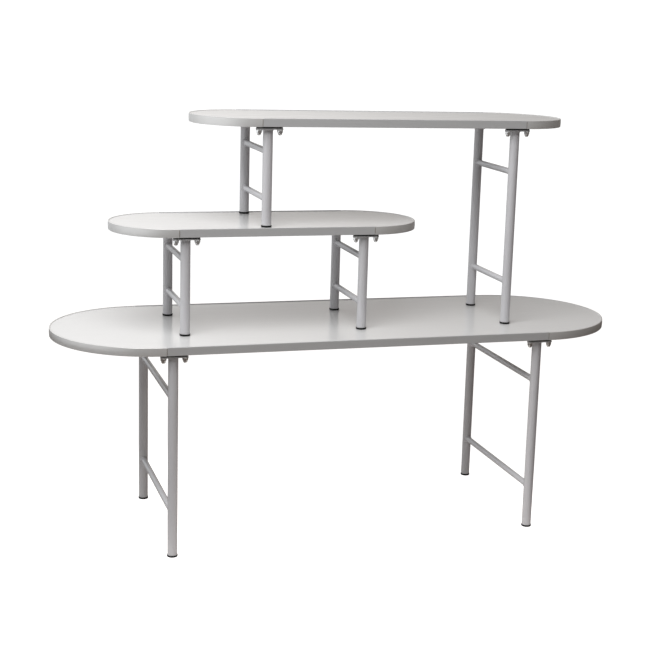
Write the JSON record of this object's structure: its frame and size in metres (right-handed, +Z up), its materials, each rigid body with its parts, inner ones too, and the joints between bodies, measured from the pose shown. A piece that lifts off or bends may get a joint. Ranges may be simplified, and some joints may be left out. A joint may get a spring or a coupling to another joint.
{
  "type": "tiered display table",
  "caption": "Free-standing tiered display for goods: stadium-shaped tables on H-shaped tube legs, stacked so that the shorter ones stand on the longest and step upwards.",
  "frame": {"origin": "on the floor under the centre of the lower table", "axes": "+X along the length of the tables, towards the long-legged side of the upper table; +Y to the rear; +Z up"},
  "size_m": [1.5238, 0.508, 1.0935],
  "materials": {
    "gloss_white_laminate": "high gloss",
    "backing_laminate": "matt",
    "fibreboard_core": "raw",
    "edge_rail": "satin grey",
    "end_trim": "satin grey",
    "leg_paint": "light grey powder coat",
    "zinc_hardware": "bright zinc",
    "pad_rubber": "matt",
    "foot_plastic": "satin black"
  },
  "bodies": {
    "lower_table": {"lower_backing_laminate": "backing_laminate", "lower_cap_nuts": "zinc_hardware", "lower_core": "fibreboard_core", "lower_feet": "foot_plastic", "lower_flange_pads": "pad_rubber", "lower_flange_plates": "leg_paint", "lower_front_edge_rail": "edge_rail", "lower_hanger_bolts": "zinc_hardware", "lower_left_end_trim": "end_trim", "lower_left_front_leg_tube": "leg_paint", "lower_left_lower_cross_bar": "leg_paint", "lower_left_rear_leg_tube": "leg_paint", "lower_left_upper_cross_bar": "leg_paint", "lower_rear_edge_rail": "edge_rail", "lower_right_end_trim": "end_trim", "lower_right_front_leg_tube": "leg_paint", "lower_right_lower_cross_bar": "leg_paint", "lower_right_rear_leg_tube": "leg_paint", "lower_right_upper_cross_bar": "leg_paint", "lower_top_laminate": "gloss_white_laminate"},
    "middle_table": {"middle_backing_laminate": "backing_laminate", "middle_cap_nuts": "zinc_hardware", "middle_core": "fibreboard_core", "middle_feet": "foot_plastic", "middle_flange_pads": "pad_rubber", "middle_flange_plates": "leg_paint", "middle_front_edge_rail": "edge_rail", "middle_hanger_bolts": "zinc_hardware", "middle_left_end_trim": "end_trim", "middle_left_front_leg_tube": "leg_paint", "middle_left_lower_cross_bar": "leg_paint", "middle_left_rear_leg_tube": "leg_paint", "middle_left_upper_cross_bar": "leg_paint", "middle_rear_edge_rail": "edge_rail", "middle_right_end_trim": "end_trim", "middle_right_front_leg_tube": "leg_paint", "middle_right_lower_cross_bar": "leg_paint", "middle_right_rear_leg_tube": "leg_paint", "middle_right_upper_cross_bar": "leg_paint", "middle_top_laminate": "gloss_white_laminate"},
    "upper_table": {"upper_backing_laminate": "backing_laminate", "upper_cap_nuts": "zinc_hardware", "upper_core": "fibreboard_core", "upper_feet": "foot_plastic", "upper_flange_pads": "pad_rubber", "upper_flange_plates": "leg_paint", "upper_front_edge_rail": "edge_rail", "upper_hanger_bolts": "zinc_hardware", "upper_left_end_trim": "end_trim", "upper_left_front_leg_tube": "leg_paint", "upper_left_lower_cross_bar": "leg_paint", "upper_left_rear_leg_tube": "leg_paint", "upper_left_upper_cross_bar": "leg_paint", "upper_rear_edge_rail": "edge_rail", "upper_right_end_trim": "end_trim", "upper_right_front_leg_tube": "leg_paint", "upper_right_lower_cross_bar": "leg_paint", "upper_right_rear_leg_tube": "leg_paint", "upper_right_upper_cross_bar": "leg_paint", "upper_top_laminate": "gloss_white_laminate"}
  },
  "joints": [
    {"name": "middle_table_lift", "type": "slide", "parent": "lower_table", "child": "middle_table", "axis": [0, 0, 1], "range_m": [0, 0.3]},
    {"name": "upper_table_lift", "type": "slide", "parent": "middle_table", "child": "upper_table", "axis": [0, 0, 1], "range_m": [0, 0.3]}
  ]
}
